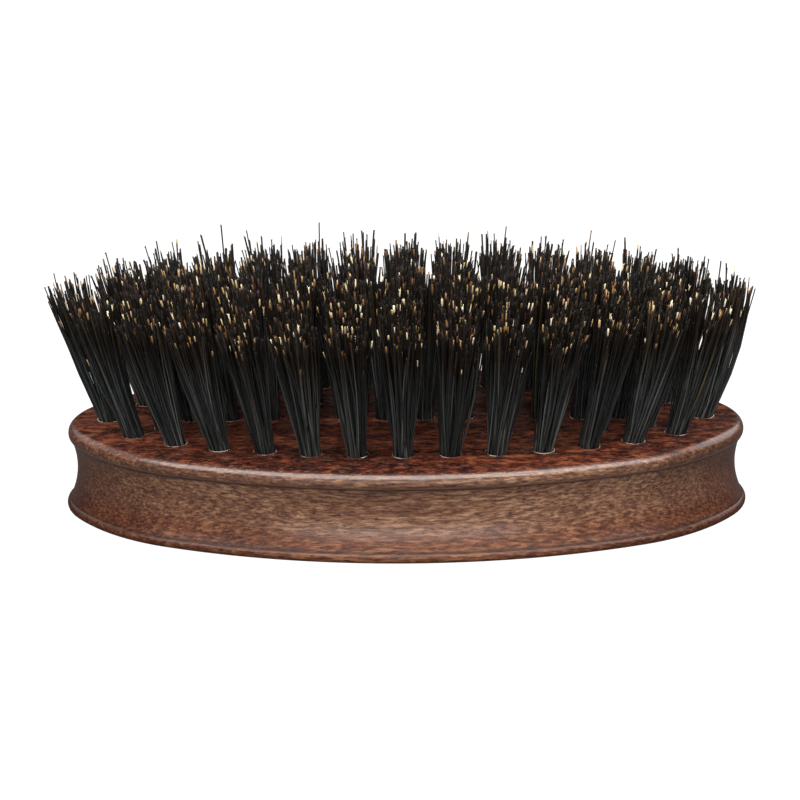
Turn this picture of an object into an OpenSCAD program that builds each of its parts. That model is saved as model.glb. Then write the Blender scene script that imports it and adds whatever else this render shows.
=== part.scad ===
/* [Handle block] */
// Length over the top lip
lip_len = 110; // [108:0.5:114]
// Width over the top lip
lip_width = 51.8; // [51:0.2:53]
// Thickness of the block, from the flat underside to the top face
block_h = 14.4; // [14:0.2:16]
// How much larger the radius of the oval's four shoulder arcs is than that of its two end arcs
shoulder_step = 21; // [20.1:0.9:21.9]

/* [Rim] */
// Radius of the rounded top lip
lip_r = 1.55; // [1.3:0.05:1.8]
// Radius of the rounded foot lip
foot_r = 0.85; // [0.8:0.05:1.4]
// How far the foot lip stands out past the top lip
foot_out = 0.9; // [0.6:0.05:1.2]
// Radius of the finger cove between the two lips
cove_r = 13.2; // [12.5:0.1:13.5]
// How far the cove is set in, which leaves a crease under the top lip and over the foot lip
cove_step = 0.25; // [0.1:0.05:0.3]

/* [Tuft holes] */
// Diameter of each drilled hole
hole_d = 3.5; // [3.2:0.1:3.6]
// Depth of each hole along its own axis
hole_depth = 8.5; // [7.5:0.25:9]

/* [Tufts] */
// Free length of the bristles above the top face
bristle_len = 23.5; // [18:0.5:26]
// Diameter of a tuft across its tips
tip_d = 6.6; // [5:0.1:6.7]
// Lean of the tufts at the two ends of the oval, in degrees
end_lean = 17; // [17:0.5:19]
// Lean of the tufts at the middle of the two long sides, in degrees
side_lean = 17; // [17:0.5:19]
// Gap all round between a tuft's root and its hole
root_gap = 0.03; // [0.02:0.01:0.06]

/* [Tuft layout] */
// Half length of the outer ring of tufts
outer_half_len = 48.4; // [48:0.1:49]
// Half width of the outer ring of tufts
outer_half_width = 17.1; // [16.5:0.1:17.5]
// Spacing of the outer ring's tufts along the block
outer_pitch = 7.2; // [7.1:0.05:7.3]
// Half length of the middle ring's oval
middle_half_len = 45.5; // [45:0.1:46]
// Half width of the middle ring's oval
middle_half_width = 8.4; // [8:0.1:8.4]
// Spacing of the middle ring's tufts along the block
middle_pitch = 7.7; // [7.6:0.05:7.7]
// Spacing of the centre row's tufts along the block
centre_pitch = 6.3; // [6.2:0.05:6.4]

/* [Anchor staples] */
// Length of the flat wire across the hole
staple_len = 3.42; // [3:0.02:3.42]
// Width of the flat wire, along the hole
staple_width = 1.6; // [1.2:0.1:2]
// Thickness of the flat wire
staple_thick = 0.35; // [0.25:0.05:0.4]

/* [Hidden] */
$fn = 64;

// Steps to each side of the middle in the two rings, and tufts in half of the centre row
OUTER_STEPS = 6;
MIDDLE_STEPS = 5;
CENTRE_STEPS = 6;

hole_r = hole_d / 2;
root_r = hole_r - root_gap;
// Thickness of folded bristle between the hole's bottom and the staple
fold_thick = 1.2;
// Gap above and beside the staple in the fold
staple_gap = 0.05;
// How far a tuft's straight root comes out of its hole, so that the spread clears the hole's edge
root_out = 0.9;
// How far a drill starts above the top face
drill_over = 2;
// Turn of a drill about its own axis, so that its seam is off the direction that it leans in
drill_turn = 45;

// The oval is eight tangent arcs. A shoulder arc meets an end arc along a 3:4:5 direction, and a
// side arc along a 44:117:125 direction, so their centres are round numbers.
END_JOIN = [0.8, 0.6];
SIDE_JOIN = [0.352, 0.936];
// How much larger the radius of the two side arcs is than that of the shoulder arcs
side_step = ((lip_len - lip_width) / 2 - (END_JOIN.x + END_JOIN.y - 1) * shoulder_step)
    / (SIDE_JOIN.x + SIDE_JOIN.y - 1);
side_r = lip_width / 2 + SIDE_JOIN.y * side_step + END_JOIN.y * shoulder_step;
shoulder_r = side_r - side_step;
end_r = shoulder_r - shoulder_step;
// Centres of the arcs, in the quarter where x and y are positive
side_c = [0, lip_width / 2 - side_r];
shoulder_c = side_c + side_step * SIDE_JOIN;
end_c = [lip_len / 2 - end_r, 0];
// Longer than any line from an arc's centre to the outline
reach = 150;

// The rim's section: x is the distance outside the top lip's outline, y is the height
lip_c = [-lip_r, block_h - lip_r];
foot_c = [foot_out - foot_r, foot_r];
// Centre of a cove that would touch both lips smoothly, and the two points where it would
touch_c = meet(foot_c, cove_r + foot_r, lip_c, cove_r + lip_r);
lip_touch = lip_c + lip_r * unit(touch_c - lip_c);
foot_touch = foot_c + foot_r * unit(touch_c - foot_c);
cove_c = touch_c - [cove_step, 0];

OUTER_TUFTS = concat(
    [for (k = [-OUTER_STEPS:OUTER_STEPS]) outer_spot(k, -1)],
    [[outer_half_len, 0]],
    [for (k = [OUTER_STEPS:-1:-OUTER_STEPS]) outer_spot(k, 1)],
    [[-outer_half_len, 0]]
);
MIDDLE_TUFTS = concat(
    [for (k = [-MIDDLE_STEPS:MIDDLE_STEPS]) middle_spot(k, -1)],
    [for (k = [MIDDLE_STEPS:-1:-MIDDLE_STEPS]) middle_spot(k, 1)]
);
CENTRE_TUFTS = [for (k = [1:CENTRE_STEPS], side = [-1, 1]) [side * (k - 0.5) * centre_pitch, 0]];
ALL_TUFTS = concat(OUTER_TUFTS, MIDDLE_TUFTS, CENTRE_TUFTS);

function outer_name(i) = str("outer_tuft_", i);
function middle_name(i) = str("middle_tuft_", i);
function centre_name(i) = str("centre_tuft_pair_", i);

function unit(v) = v / norm(v);
function heading(v) = atan2(v.y, v.x);
function on_oval(x, half_len, half_width) = half_width * sqrt(1 - pow(x / half_len, 2));

// The point at distance rp from p and rq from q, on the right hand going from p to q
function meet(p, rp, q, rq) =
    let (
        gap = norm(q - p),
        along = (rp * rp - rq * rq + gap * gap) / (2 * gap),
        across = sqrt(rp * rp - along * along),
        way = (q - p) / gap
    )
    p + along * way + across * [way.y, -way.x];

// The k-th tuft of a ring, on its front (side -1) or its back (side 1)
function outer_spot(k, side) =
    let (x = k * outer_pitch)
    [x, side * on_oval(x, outer_half_len, outer_half_width)];
function middle_spot(k, side) =
    let (x = k * middle_pitch)
    [x, side * on_oval(x, middle_half_len, middle_half_width)];

// The direction of a tuft, which leans outwards in proportion to its place
function tuft_way(spot) = [
    tan(end_lean * spot.x / outer_half_len),
    tan(side_lean * spot.y / outer_half_width),
    1
];

// Puts its children at a tuft's place on the top face, with +Z along the tuft
module at_tuft(spot) {
    way = tuft_way(spot);
    translate([spot.x, spot.y, block_h])
        rotate([0, acos(1 / norm(way)), heading(way)])
            children();
}

// Half of a disc's section, with the axis at x = 0 and the top lip's outline at x = r
module rim_section(r) {
    out = [r, 0];
    difference() {
        polygon([
            [0, 0],
            [r + foot_c.x, 0],
            out + foot_touch,
            out + lip_touch,
            [r + lip_c.x, block_h],
            [0, block_h]
        ]);
        translate(out + cove_c) circle(cove_r);
    }
    translate(out + lip_c) circle(lip_r);
    translate(out + foot_c) circle(foot_r);
}

// The part of a round block, of radius r about centre c, that stands on a flat outline
module sector(c, r, outline) {
    intersection() {
        translate(c)
            rotate_extrude()
                rim_section(r);
        linear_extrude(block_h) polygon(outline);
    }
}

function flip_x(p) = [-p.x, p.y];
function flip_y(p) = [p.x, -p.y];

module oval_block() {
    side_out = shoulder_c + reach * SIDE_JOIN;
    end_out = end_c + reach * END_JOIN;
    for (turn = [0, 180]) {
        rotate([0, 0, turn]) {
            sector(end_c, end_r, [end_c, flip_y(end_out), end_out]);
            sector(side_c, side_r, [shoulder_c, side_out, flip_x(side_out), flip_x(shoulder_c)]);
            sector(shoulder_c, shoulder_r, [shoulder_c, end_out, side_out]);
            sector(flip_x(shoulder_c), shoulder_r, [for (p = [shoulder_c, end_out, side_out]) flip_x(p)]);
        }
    }
}

module drill(spot) {
    at_tuft(spot)
        rotate([0, 0, drill_turn])
            translate([0, 0, -hole_depth])
                cylinder(r = hole_r, h = hole_depth + drill_over);
}

module handle_block() {
    color("saddlebrown")
        difference() {
            oval_block();
            for (spot = ALL_TUFTS) drill(spot);
        }
}

// A flat plate across a hole at the bottom of the fold, with its length along the block
module fold_plate(spot, length, thick, width) {
    rotate([0, 0, -heading(tuft_way(spot))])
        translate([-length / 2, -thick / 2, fold_thick - hole_depth])
            cube([length, thick, width]);
}

module tuft(spot) {
    root_h = hole_depth + root_out;
    at_tuft(spot) {
        difference() {
            translate([0, 0, -hole_depth]) cylinder(r = root_r, h = root_h);
            fold_plate(spot, 2 * hole_d, staple_thick + 2 * staple_gap, staple_width + staple_gap);
        }
        translate([0, 0, root_out])
            cylinder(r1 = root_r, r2 = tip_d / 2, h = bristle_len - root_out);
    }
}

module staple(spot) {
    at_tuft(spot) fold_plate(spot, staple_len, staple_thick, staple_width);
}

module anchor_staples() {
    color("silver")
        for (spot = ALL_TUFTS) staple(spot);
}

module outer_tuft(i) {
    color("#2b2a28") tuft(OUTER_TUFTS[i - 1]);
}

module middle_tuft(i) {
    color("#2b2a28") tuft(MIDDLE_TUFTS[i - 1]);
}

// Two tufts of the centre row, one each side of the middle
module centre_tuft_pair(i) {
    color("#2b2a28")
        for (spot = [CENTRE_TUFTS[2 * i - 2], CENTRE_TUFTS[2 * i - 1]]) tuft(spot);
}

handle_block();
anchor_staples();
for (i = [1:len(OUTER_TUFTS)])
    outer_tuft(i);
for (i = [1:len(MIDDLE_TUFTS)])
    middle_tuft(i);
for (i = [1:CENTRE_STEPS])
    centre_tuft_pair(i);
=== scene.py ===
import math
import random

import bpy
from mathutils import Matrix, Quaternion, Vector


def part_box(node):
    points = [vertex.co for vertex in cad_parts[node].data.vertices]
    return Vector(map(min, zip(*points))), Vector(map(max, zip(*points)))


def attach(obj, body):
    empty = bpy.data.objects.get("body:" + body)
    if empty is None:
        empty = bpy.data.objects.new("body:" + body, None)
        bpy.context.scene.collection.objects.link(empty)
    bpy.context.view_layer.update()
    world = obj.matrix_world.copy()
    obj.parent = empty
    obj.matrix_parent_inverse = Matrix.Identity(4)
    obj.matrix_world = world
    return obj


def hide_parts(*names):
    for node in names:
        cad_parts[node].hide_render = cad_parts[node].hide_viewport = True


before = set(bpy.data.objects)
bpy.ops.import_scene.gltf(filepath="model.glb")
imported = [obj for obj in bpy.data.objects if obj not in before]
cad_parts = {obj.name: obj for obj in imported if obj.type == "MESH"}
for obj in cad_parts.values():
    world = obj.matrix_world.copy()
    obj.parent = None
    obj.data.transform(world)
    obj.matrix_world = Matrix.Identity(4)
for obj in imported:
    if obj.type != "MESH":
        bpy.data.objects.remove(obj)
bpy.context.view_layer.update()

MM = 0.001
SEED = 11

block_lo, block_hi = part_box("handle_block")
TOP_Z = block_hi.z
# Heights of the two lines where the finger cove meets the top lip and the foot lip
LIP_CREASE_Z = 11.65 * MM
FOOT_CREASE_Z = 1.65 * MM

# The brush stands on its underside. The camera aims near the middle of its top face.
VIEW_AZIMUTH = math.radians(0.84)
VIEW_ELEVATION = math.radians(19.7)
VIEW_ROLL = math.radians(0.7)
VIEW_DISTANCE = 306.4 * MM
LENS_MM = 84.5
AIM_SIDE = -0.77 * MM
AIM_UP = 2.78 * MM

# Bristles
BRISTLES_PER_TUFT = 112
BRISTLE_R = 0.12 * MM
BRISTLE_TIP_R = 0.11 * MM
BRISTLE_SIDES = 4
ROOT_DEPTH = 5.5 * MM
# How far the tips at the two ends stand in from where their tufts point
LEFT_TUCK = 1.8 * MM
RIGHT_TUCK = 3.2 * MM
# The higher these are, the fewer of the bristle ends are pale, on the front and the back tufts. The rise
# from front to back is painted shade: the back tufts' ends are darkened as if less lit.
FRONT_PALE_SCARCITY = 1.6
BACK_PALE_SCARCITY = 3.6
# How much of its hole's radius a bundle fills
BUNDLE_FILL = 0.83


# ---------------------------------------------------------------- node graph helpers

class Graph:
    """A material's nodes, with short ways to add and join them."""

    def __init__(self, name):
        self.material = bpy.data.materials.new(name)
        self.material.use_nodes = True
        self.tree = self.material.node_tree
        self.shader = self.tree.nodes["Principled BSDF"]
        texture = self.add("ShaderNodeTexCoord")
        self.coords = texture.outputs["Object"]
        normal = self.add("ShaderNodeSeparateXYZ")
        self.put(normal.inputs["Vector"], texture.outputs["Normal"])
        self.facing_x = normal.outputs["X"]

    def add(self, kind, **settings):
        node = self.tree.nodes.new(kind)
        for key, value in settings.items():
            setattr(node, key, value)
        return node

    def put(self, socket, value):
        if isinstance(value, bpy.types.NodeSocket):
            self.tree.links.new(value, socket)
        else:
            socket.default_value = value

    def math(self, operation, a, b=0.0, clamp=False):
        node = self.add("ShaderNodeMath", operation=operation, use_clamp=clamp)
        self.put(node.inputs[0], a)
        self.put(node.inputs[1], b)
        return node.outputs[0]

    def mix(self, amount, a, b, blend="MIX"):
        node = self.add("ShaderNodeMix", data_type="RGBA", blend_type=blend)
        self.put(node.inputs["Factor"], amount)
        self.put(node.inputs["A"], a)
        self.put(node.inputs["B"], b)
        return node.outputs["Result"]

    def span(self, value, low, high, to_low=0.0, to_high=1.0):
        node = self.add("ShaderNodeMapRange")
        for socket, number in zip(node.inputs[:5], (value, low, high, to_low, to_high)):
            self.put(socket, number)
        return node.outputs["Result"]

    def stretched(self, per_mm):
        """The object's own coordinates, in cycles, from cycles per millimetre along each axis."""
        node = self.add("ShaderNodeMapping", vector_type="POINT")
        self.put(node.inputs["Vector"], self.coords)
        node.inputs["Scale"].default_value = [c / MM for c in per_mm]
        return node.outputs["Vector"]

    def noise(self, vector, detail=4.0, roughness=0.55, distortion=0.0):
        node = self.add("ShaderNodeTexNoise")
        self.put(node.inputs["Vector"], vector)
        node.inputs["Scale"].default_value = 1.0
        node.inputs["Detail"].default_value = detail
        node.inputs["Roughness"].default_value = roughness
        node.inputs["Distortion"].default_value = distortion
        return node.outputs["Fac"]

    def ramp(self, value, stops):
        node = self.add("ShaderNodeValToRGB")
        self.put(node.inputs["Fac"], value)
        points = node.color_ramp.elements
        while len(points) < len(stops):
            points.new(0.5)
        for point, (place, colour) in zip(points, stops):
            point.position = place
            point.color = (*colour, 1.0)
        return node.outputs["Color"]

    def bump(self, height, strength, distance, socket="Normal"):
        node = self.add("ShaderNodeBump")
        self.put(node.inputs["Height"], height)
        node.inputs["Strength"].default_value = strength
        node.inputs["Distance"].default_value = distance
        self.put(self.shader.inputs[socket], node.outputs["Normal"])

    def set(self, **sockets):
        for name, value in sockets.items():
            self.put(self.shader.inputs[name.replace("_", " ")], value)


# ---------------------------------------------------------------- materials

def stained_wood():
    """Dark stained wood: grain along the block, redder on top, darker at its ends from end grain and
    painted shade, a thin pale line under the top lip that is partly wear and partly painted highlight, and
    painted shade in its creases.
    """
    g = Graph("stained_wood")
    height = g.add("ShaderNodeSeparateXYZ")
    g.put(height.inputs["Vector"], g.coords)
    z = height.outputs["Z"]
    broad = g.noise(g.stretched((0.018, 0.10, 0.14)), detail=3, distortion=0.8)
    fibres = g.noise(g.stretched((0.34, 2.4, 2.4)), detail=6, roughness=0.62, distortion=0.3)
    dashes = g.noise(g.stretched((0.60, 3.6, 3.6)), detail=3, roughness=0.6, distortion=0.5)
    stipple = g.noise(g.stretched((1.2, 4.2, 4.2)), detail=2, roughness=0.5)
    flecks = g.noise(g.stretched((0.42, 0.95, 0.95)), detail=5, roughness=0.68, distortion=0.4)
    wide = g.math("MULTIPLY", g.span(broad, 0.36, 0.64), 0.25)
    side = g.ramp(g.math("ADD", wide, g.math("MULTIPLY", g.span(fibres, 0.36, 0.64), 0.75)), (
        (0.10, (0.050, 0.017, 0.009)),
        (0.40, (0.105, 0.041, 0.020)),
        (0.62, (0.166, 0.077, 0.040)),
        (0.92, (0.280, 0.158, 0.093)),
    ))
    top = g.ramp(g.math("ADD", wide, g.math("MULTIPLY", g.span(flecks, 0.36, 0.64), 0.75)), (
        (0.10, (0.011, 0.002, 0.001)),
        (0.38, (0.030, 0.005, 0.003)),
        (0.60, (0.076, 0.014, 0.006)),
        (0.92, (0.225, 0.064, 0.026)),
    ))
    on_top = g.span(z, TOP_Z - 0.7 * MM, TOP_Z - 0.1 * MM)
    colour = g.mix(on_top, side, top)
    dark = g.math("MULTIPLY", g.span(dashes, 0.55, 0.65), g.span(on_top, 0.0, 1.0, 0.75, 0.4))
    colour = g.mix(dark, colour, (0.014, 0.005, 0.004, 1.0))
    colour = g.mix(g.span(stipple, 0.57, 0.68, 0.0, 0.6), colour, (0.200, 0.100, 0.055, 1.0))
    low = g.span(z, 3.2 * MM, 6.0 * MM, 1.0, 0.0)
    colour = g.mix(low, colour, (0.70, 0.52, 0.42, 1.0), "MULTIPLY")
    # Darker and redder towards the ends: partly the end grain's darker stain, partly painted shade where
    # the light falls off round the ends.
    end_grain_and_shade = g.span(g.math("ABSOLUTE", g.facing_x), 0.2, 0.95)
    colour = g.mix(end_grain_and_shade, colour, (0.31, 0.16, 0.10, 1.0), "MULTIPLY")
    # A thin lighter line on the lower edge of the top lip: partly worn stain, partly a painted highlight.
    off_edge = g.math("ABSOLUTE", g.math("SUBTRACT", z, LIP_CREASE_Z + 0.35 * MM))
    colour = g.mix(g.span(off_edge, 0.05 * MM, 0.25 * MM, 0.45, 0.0), colour, (0.230, 0.110, 0.080, 1.0))
    # Dark lines along the creases under the top lip and above the foot: painted shade.
    for crease in (LIP_CREASE_Z, FOOT_CREASE_Z):
        off = g.math("ABSOLUTE", g.math("SUBTRACT", z, crease))
        colour = g.mix(g.span(off, 0.05 * MM, 0.35 * MM, 0.6, 0.0), colour, (0.012, 0.005, 0.004, 1.0))
    g.set(Base_Color=colour)
    g.set(Roughness=g.span(fibres, 0.3, 0.7, 0.45, 0.6), Specular_IOR_Level=0.15)
    polish = g.span(z, FOOT_CREASE_Z - 0.3 * MM, FOOT_CREASE_Z + 0.6 * MM, 0.2, 1.0)
    g.set(Coat_Weight=g.math("MULTIPLY", polish, g.span(end_grain_and_shade, 0.0, 1.0, 1.0, 0.3)))
    g.set(Coat_Roughness=0.22)
    pores = g.math("SUBTRACT", fibres, g.math("MULTIPLY", dashes, 0.7))
    g.bump(pores, 0.35, 0.12 * MM)
    g.bump(pores, 0.22, 0.12 * MM, "Coat Normal")
    return g.material


def raw_wood_edge():
    """The cut edge of a hole, where the stain is worn through in places."""
    g = Graph("raw_wood_edge")
    pale_spread = g.noise(g.stretched((0.55, 0.55, 0.55)), detail=2)
    g.set(Base_Color=g.ramp(pale_spread, (
        (0.42, (0.040, 0.011, 0.006)),
        (0.52, (0.130, 0.055, 0.032)),
        (0.60, (0.560, 0.420, 0.330)),
    )))
    g.set(Roughness=0.65)
    g.bump(pale_spread, 0.4, 0.05 * MM)
    return g.material


def drawn_steel():
    g = Graph("drawn_steel")
    drawing = g.noise(g.stretched((0.4, 12.0, 12.0)), detail=3)
    g.set(Base_Color=g.ramp(drawing, ((0.3, (0.50, 0.50, 0.49)), (0.7, (0.70, 0.70, 0.68)))))
    g.set(Metallic=1.0, Roughness=g.span(drawing, 0.3, 0.7, 0.25, 0.42))
    g.bump(drawing, 0.3, 0.02 * MM)
    return g.material


def natural_bristle():
    """Dark bristle, darker and browner higher up as painted shade, with painted sheen in slate-grey streaks
    and some pale ends.

    It reads each bristle's own tone, how pale its end is, and how near a point is to its tip.
    """
    g = Graph("natural_bristle")
    tone = g.add("ShaderNodeAttribute", attribute_name="tone").outputs["Fac"]
    tip = g.add("ShaderNodeAttribute", attribute_name="tip").outputs["Fac"]
    streak_and_sheen = g.noise(g.stretched((2.2, 2.2, 0.25)), detail=3)
    height = g.add("ShaderNodeSeparateXYZ")
    g.put(height.inputs["Vector"], g.coords)
    upper = g.span(height.outputs["Z"], TOP_Z + 9 * MM, TOP_Z + 17 * MM)
    # Tone differs at random from bristle to bristle; the light slate-grey stops stand in for sheen on
    # single bristles: painted highlights.
    shaft = g.ramp(tone, (
        (0.00, (0.010, 0.011, 0.011)),
        (0.55, (0.022, 0.024, 0.023)),
        (0.84, (0.052, 0.055, 0.053)),
        (0.975, (0.125, 0.130, 0.122)),
        (0.985, (0.045, 0.028, 0.015)),
        (1.00, (0.090, 0.075, 0.030)),
    ))
    # Lighter slate streaks along the bristles: painted sheen.
    shaft = g.mix(g.span(streak_and_sheen, 0.5, 0.75, 0.0, 0.35), shaft, (0.050, 0.056, 0.053, 1.0))
    # Darker and browner higher up: painted shade on the upper bristles and their ends.
    shaft = g.mix(upper, shaft, (0.38, 0.26, 0.19, 1.0), "MULTIPLY")
    end = g.ramp(g.add("ShaderNodeAttribute", attribute_name="pale").outputs["Fac"], (
        (0.00, (0.006, 0.005, 0.004)),
        (0.42, (0.010, 0.006, 0.004)),
        (0.60, (0.068, 0.024, 0.011)),
        (0.74, (0.230, 0.120, 0.040)),
        (0.88, (0.490, 0.350, 0.175)),
        (1.00, (0.820, 0.710, 0.490)),
    ))
    g.set(Base_Color=g.mix(tip, shaft, end))
    gloss = g.span(streak_and_sheen, 0.3, 0.7, 0.32, 0.48)
    g.set(Roughness=g.math("ADD", gloss, g.math("MULTIPLY", upper, 0.1)), Specular_IOR_Level=0.22)
    g.bump(streak_and_sheen, 0.15, 0.03 * MM)
    return g.material


# ---------------------------------------------------------------- meshes

def add_mesh(name, verts, faces, material, smooth=True):
    mesh = bpy.data.meshes.new(name)
    mesh.from_pydata(verts, [], faces)
    mesh.materials.append(material)
    mesh.polygons.foreach_set("use_smooth", [smooth] * len(mesh.polygons))
    piece = bpy.data.objects.new(name, mesh)
    bpy.context.scene.collection.objects.link(piece)
    return piece


class Tuft:
    """One tuft's place, from its CAD solid: the middle of its hole's mouth, its direction and its radii."""

    NECK_BAND = 3.0 * MM
    TIP_BAND = 6.0 * MM

    def __init__(self, points):
        highest = max(p.z for p in points)
        neck = [p for p in points if TOP_Z < p.z < TOP_Z + self.NECK_BAND]
        tips = [p for p in points if p.z > highest - self.TIP_BAND]
        neck_mid = sum(neck, Vector()) / len(neck)
        tip_mid = sum(tips, Vector()) / len(tips)
        self.axis = (tip_mid - neck_mid).normalized()
        self.mouth = neck_mid + self.axis * ((TOP_Z - neck_mid.z) / self.axis.z)
        self.length = (tip_mid - self.mouth).length
        self.root_r = sum((p - neck_mid).length for p in neck) / len(neck)
        self.tip_r = sum((p - tip_mid).length for p in tips) / len(tips)
        end = self.mouth.x / block_hi.x
        self.tuck = -end ** 3 * (RIGHT_TUCK if end > 0 else LEFT_TUCK)
        back = (self.mouth.y - block_lo.y) / (block_hi.y - block_lo.y)
        # Fewer pale ends towards the back of the block: painted shade on the back tufts' ends.
        self.pale_spread = FRONT_PALE_SCARCITY + (BACK_PALE_SCARCITY - FRONT_PALE_SCARCITY) * back
        self.u = self.axis.cross(Vector((0, 1, 0))).normalized()
        self.v = self.axis.cross(self.u)

    def point(self, along, across):
        pressed = Vector((self.tuck, 0, 0)) * (max(0.0, along) / self.length) ** 2
        return self.mouth + self.axis * along + self.u * across.x + self.v * across.y + pressed


def tufts_of(node):
    """The tufts in a CAD node: one, or a pair that mirrors in the middle of the block."""
    verts = {tuple(round(c, 7) for c in v.co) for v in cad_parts[node].data.vertices}
    points = [Vector(v) for v in sorted(verts)]
    halves = [[p for p in points if p.x < 0], [p for p in points if p.x >= 0]]
    if "pair" in node:
        return [Tuft(half) for half in halves]
    return [Tuft(points)]


class Strands:
    """Gathers tapered tubes into one mesh.

    Each vertex carries its bristle's tone, how pale its end is, and how near it is to the tip.
    """

    def __init__(self):
        self.verts, self.faces, self.tone, self.pale, self.tip = [], [], [], [], []

    def tube(self, u, v, stations, sides, tone, pale):
        """stations: (centre, radius, nearness to the tip), from root to tip, which closes in a point."""
        first = len(self.verts)
        for centre, radius, near in stations[:-1]:
            for k in range(sides):
                turn = 2 * math.pi * k / sides
                self.verts.append(centre + (u * math.cos(turn) + v * math.sin(turn)) * radius)
                self.tip.append(near)
        self.verts.append(stations[-1][0])
        self.tip.append(stations[-1][2])
        rings = len(stations) - 1
        for r in range(rings - 1):
            for k in range(sides):
                a, b = first + r * sides + k, first + r * sides + (k + 1) % sides
                self.faces.append((a, b, b + sides, a + sides))
        last = first + (rings - 1) * sides
        for k in range(sides):
            self.faces.append((last + k, last + (k + 1) % sides, first + rings * sides))
        self.faces.append(tuple(first + k for k in reversed(range(sides))))
        self.tone += [tone] * (len(self.verts) - first)
        self.pale += [pale] * (len(self.verts) - first)

    def build(self, name, material):
        piece = add_mesh(name, self.verts, self.faces, material)
        for key, values in (("tone", self.tone), ("pale", self.pale), ("tip", self.tip)):
            layer = piece.data.attributes.new(key, "FLOAT", "POINT")
            layer.data.foreach_set("value", values)
        return piece


def in_disc(rng, radius):
    turn = rng.uniform(0, 2 * math.pi)
    return Vector((math.cos(turn), math.sin(turn))) * radius * math.sqrt(rng.random())


def wobble(rng, size):
    return Vector((rng.gauss(0, size), rng.gauss(0, size)))


GOLDEN_TURN = math.pi * (3 - math.sqrt(5))
# Stations along the free part of a bristle, as shares of its length
FREE_STEPS = (0.0, 0.16, 0.36, 0.58, 0.8)
# The fan opens a little faster towards the tips than in a straight cone
FAN_POWER = 1.25
# Each tuft has this many random points, and a tip is drawn this share of the way to its nearest one
CLUMPS = 18
CLUMP_PULL = 0.3
AIM_SPREAD = 0.5 * MM
STRAY_CHANCE = 0.12
STRAY_SPREAD = 1.0 * MM
# The furthest that a tip stands from its tuft's axis, as a share of the tuft's own tip radius
WIDEST_AIM = 1.04
BOW = 0.3 * MM
WILD_CHANCE = 0.015
WILD_BOW = 0.6 * MM
MEAN_LONGER = 0.7 * MM
LENGTH_SPREAD = 1.25 * MM
LONG_CHANCE = 0.12
LONGER_MM = (0.6, 2.6)
SHORT_CHANCE = 0.12
SHORTER_MM = (1.5, 4.5)
# The thinnest bristle's share of BRISTLE_R, and how much more a thick one may have
THINNEST = 0.85
THICK_SPREAD = 0.7
# The coloured end of a bristle, and the length over which the shaft's colour turns into it
END_MM = (0.4, 1.0)
END_BLEND = 0.35 * MM
POINT_LEN = 0.12 * MM
SPLIT_CHANCE = 0.4
SPLIT_START = 0.4 * MM
SPLIT_ROOT_R = 0.065 * MM
SPLIT_MID_R = 0.055 * MM
SPLIT_SIDES = 3


def bristle_aim(tuft, rng, way, clumps):
    """Where a bristle's tip is across its tuft: in a fan, drawn to the nearest clump, with a few strays."""
    aim = way * tuft.tip_r
    nearest = min(clumps, key=lambda c: (c - aim).length)
    aim += (nearest - aim) * CLUMP_PULL + wobble(rng, AIM_SPREAD)
    if rng.random() < STRAY_CHANCE:
        aim += wobble(rng, STRAY_SPREAD)
    widest = tuft.tip_r * WIDEST_AIM
    return aim * min(1.0, widest / max(aim.length, MM))


def bristle_length(tuft, rng):
    length = tuft.length + MEAN_LONGER + rng.gauss(0, LENGTH_SPREAD)
    if rng.random() < LONG_CHANCE:
        length += rng.uniform(*LONGER_MM) * MM
    if rng.random() < SHORT_CHANCE:
        length -= rng.uniform(*SHORTER_MM) * MM
    return length


def add_split(strands, tuft, rng, tip, onward, tone, pale):
    """The two thin flags of a split end."""
    for side in (-1, 1):
        apart = tuft.u * rng.uniform(0.05, 0.25) * side + tuft.v * rng.uniform(-0.2, 0.2)
        start = tip - onward * SPLIT_START
        end = tip + onward * rng.uniform(0.2, 0.5) * MM + apart * MM
        strands.tube(tuft.u, tuft.v, [
            (start, SPLIT_ROOT_R, 0.9),
            ((start + end) / 2, SPLIT_MID_R, 1.0),
            (end, 0.0, 1.0),
        ], SPLIT_SIDES, tone, pale)


def add_bristle(strands, tuft, rng, k, clumps):
    turn = k * GOLDEN_TURN + rng.uniform(-0.35, 0.35)
    share = math.sqrt((k + rng.uniform(0.1, 0.9)) / BRISTLES_PER_TUFT)
    way = Vector((math.cos(turn), math.sin(turn))) * share
    root = way * (tuft.root_r * BUNDLE_FILL - BRISTLE_R)
    aim = bristle_aim(tuft, rng, way, clumps)
    length = bristle_length(tuft, rng)
    bow = wobble(rng, BOW)
    if rng.random() < WILD_CHANCE:
        bow = wobble(rng, WILD_BOW)
    end_len = rng.uniform(*END_MM) * MM
    tone = rng.random()
    pale = rng.random() ** tuft.pale_spread
    thick = THINNEST + THICK_SPREAD * rng.random() ** 2

    def station(along, near):
        s = along / length
        across = root + (aim - root) * s ** FAN_POWER + bow * math.sin(math.pi * s)
        radius = (BRISTLE_R + (BRISTLE_TIP_R - BRISTLE_R) * s) * thick
        return tuft.point(along, across), radius, near

    stations = [(tuft.point(-ROOT_DEPTH, root), BRISTLE_R * thick, 0.0)]
    stations += [station(length * s, 0.0) for s in FREE_STEPS]
    stations.append(station(length - end_len - END_BLEND, 0.0))
    stations.append(station(length - end_len, 0.8))
    stations.append(station(length, 1.0))
    tip, before = stations[-1][0], stations[-2][0]
    onward = (tip - before).normalized()
    stations.append((tip + onward * POINT_LEN, 0.0, 1.0))
    strands.tube(tuft.u, tuft.v, stations, BRISTLE_SIDES, tone, pale)
    if rng.random() < SPLIT_CHANCE:
        add_split(strands, tuft, rng, tip, onward, tone, pale)


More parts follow.
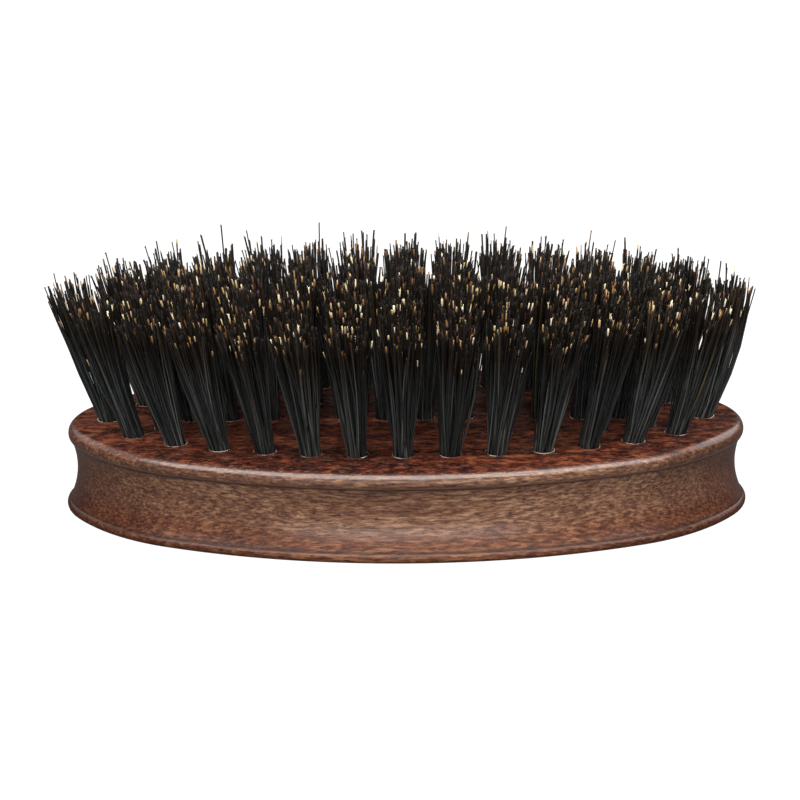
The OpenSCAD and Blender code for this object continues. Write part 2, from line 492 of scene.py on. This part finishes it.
def make_tufts(node, material):
    """A bundle of bristles in place of each tuft solid of a CAD node."""
    strands = Strands()
    for number, tuft in enumerate(tufts_of(node)):
        rng = random.Random(f"{SEED} {node} {number}")
        clumps = [in_disc(rng, tuft.tip_r) for _ in range(CLUMPS)]
        for k in range(BRISTLES_PER_TUFT):
            add_bristle(strands, tuft, rng, k, clumps)
    piece = strands.build("bristles_" + node, material)
    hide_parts(node)
    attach(piece, "root")


RIM_STEPS = 40
RIM_SIDES = 6
RIM_BEAD_R = 0.055 * MM
HOLE_R = 1.75 * MM


def make_hole_rims(nodes, material):
    """The raw edge of each drilled hole: a thin bead round its mouth, an ellipse where the drill leans."""
    verts, faces = [], []
    for node in nodes:
        for tuft in tufts_of(node):
            first = len(verts)
            lean = Vector((tuft.axis.x, tuft.axis.y, 0)).normalized()
            cross = Vector((-lean.y, lean.x, 0))
            for i in range(RIM_STEPS):
                turn = 2 * math.pi * i / RIM_STEPS
                out = lean * math.cos(turn) / tuft.axis.z + cross * math.sin(turn)
                for j in range(RIM_SIDES):
                    roll = 2 * math.pi * j / RIM_SIDES
                    spot = tuft.mouth + out * (HOLE_R + RIM_BEAD_R * math.cos(roll))
                    verts.append(spot + Vector((0, 0, RIM_BEAD_R * math.sin(roll) * 0.6)))
                    a = first + i * RIM_SIDES + j
                    b = first + i * RIM_SIDES + (j + 1) % RIM_SIDES
                    onward = RIM_SIDES if i < RIM_STEPS - 1 else -(RIM_STEPS - 1) * RIM_SIDES
                    faces.append((a, a + onward, b + onward, b))
    piece = add_mesh("hole_rims", verts, faces, material)
    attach(piece, "root")


# ---------------------------------------------------------------- studio

FLOOR_GLOW = 0.95
FLOOR_HALF = 3.0
WORLD_FILL = 0.03
LIGHT_DISTANCE = 0.6
# Name, azimuth and elevation in degrees, width and height in metres, watts
SOFTBOXES = (
    ("key", 0, 57, (1.4, 0.5), 14.5),
    ("low_card", 0, 2, (0.5, 0.2), 1.0),
    ("left_rim", -120, 32, (0.5, 0.35), 0.7),
    ("right_rim", 120, 32, (0.5, 0.35), 1.8),
)


def make_floor():
    """A pale floor that fills the background with white and throws little light back on the brush."""
    corners = ((-1, -1), (1, -1), (1, 1), (-1, 1))
    verts = [(x * FLOOR_HALF, y * FLOOR_HALF, 0) for x, y in corners]
    g = Graph("pale_floor")
    g.set(Base_Color=g.ramp(g.noise(g.stretched((0.01, 0.01, 0.01))), (
        (0.3, (0.10, 0.10, 0.10)),
        (0.7, (0.11, 0.11, 0.11)),
    )))
    seen = g.add("ShaderNodeLightPath").outputs["Is Camera Ray"]
    g.set(Roughness=0.9, Emission_Color=(1.0, 1.0, 1.0, 1.0))
    g.set(Emission_Strength=g.math("MULTIPLY", seen, FLOOR_GLOW))
    floor = add_mesh("floor", verts, [(0, 1, 2, 3)], g.material, smooth=False)


def add_softbox(name, azimuth, elevation, size, watts):
    """A rectangular light that faces the brush. Azimuth 0 is in front of it, 90 at its right-hand end."""
    turn, rise = math.radians(azimuth), math.radians(elevation)
    way = Vector((math.sin(turn) * math.cos(rise), -math.cos(turn) * math.cos(rise), math.sin(rise)))
    data = bpy.data.lights.new(name, "AREA")
    data.shape = "RECTANGLE"
    data.size, data.size_y = size
    data.energy = watts
    light = bpy.data.objects.new(name, data)
    light.location = Vector((0, 0, TOP_Z)) + way * LIGHT_DISTANCE
    light.rotation_euler = (-way).to_track_quat("-Z", "Y").to_euler()
    bpy.context.scene.collection.objects.link(light)


def light_studio():
    world = bpy.data.worlds.new("studio")
    world.use_nodes = True
    tree = world.node_tree
    path = tree.nodes.new("ShaderNodeLightPath")
    shade = tree.nodes.new("ShaderNodeMapRange")
    tree.links.new(path.outputs["Is Camera Ray"], shade.inputs["Value"])
    shade.inputs["To Min"].default_value = WORLD_FILL
    shade.inputs["To Max"].default_value = 1.0
    background = tree.nodes["Background"]
    background.inputs["Color"].default_value = (1, 1, 1, 1)
    tree.links.new(shade.outputs["Result"], background.inputs["Strength"])
    bpy.context.scene.world = world
    for softbox in SOFTBOXES:
        add_softbox(*softbox)


def make_camera():
    back = Vector((
        math.sin(VIEW_AZIMUTH) * math.cos(VIEW_ELEVATION),
        -math.cos(VIEW_AZIMUTH) * math.cos(VIEW_ELEVATION),
        math.sin(VIEW_ELEVATION),
    ))
    right = Vector((math.cos(VIEW_AZIMUTH), math.sin(VIEW_AZIMUTH), 0))
    up = back.cross(right)
    top_middle = Vector((0, 0, TOP_Z))
    data = bpy.data.cameras.new("camera")
    data.lens = LENS_MM
    data.sensor_width = 36.0
    data.clip_start = 0.01
    camera = bpy.data.objects.new("camera", data)
    camera.location = top_middle + back * VIEW_DISTANCE
    aim = top_middle + right * AIM_SIDE + up * AIM_UP
    camera.rotation_mode = "QUATERNION"
    turn = (aim - camera.location).to_track_quat("-Z", "Y")
    camera.rotation_quaternion = turn @ Quaternion((0, 0, 1), -VIEW_ROLL)
    bpy.context.scene.collection.objects.link(camera)
    bpy.context.scene.camera = camera


def main():
    scene = bpy.context.scene
    scene.view_settings.view_transform = "Standard"
    wood = stained_wood()
    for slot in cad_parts["handle_block"].material_slots:
        slot.material = wood
    steel = drawn_steel()
    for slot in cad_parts["anchor_staples"].material_slots:
        slot.material = steel
    bristle = natural_bristle()
    tuft_nodes = [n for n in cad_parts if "tuft" in n]
    for node in tuft_nodes:
        make_tufts(node, bristle)
    make_hole_rims(tuft_nodes, raw_wood_edge())
    make_floor()
    light_studio()
    make_camera()


main()
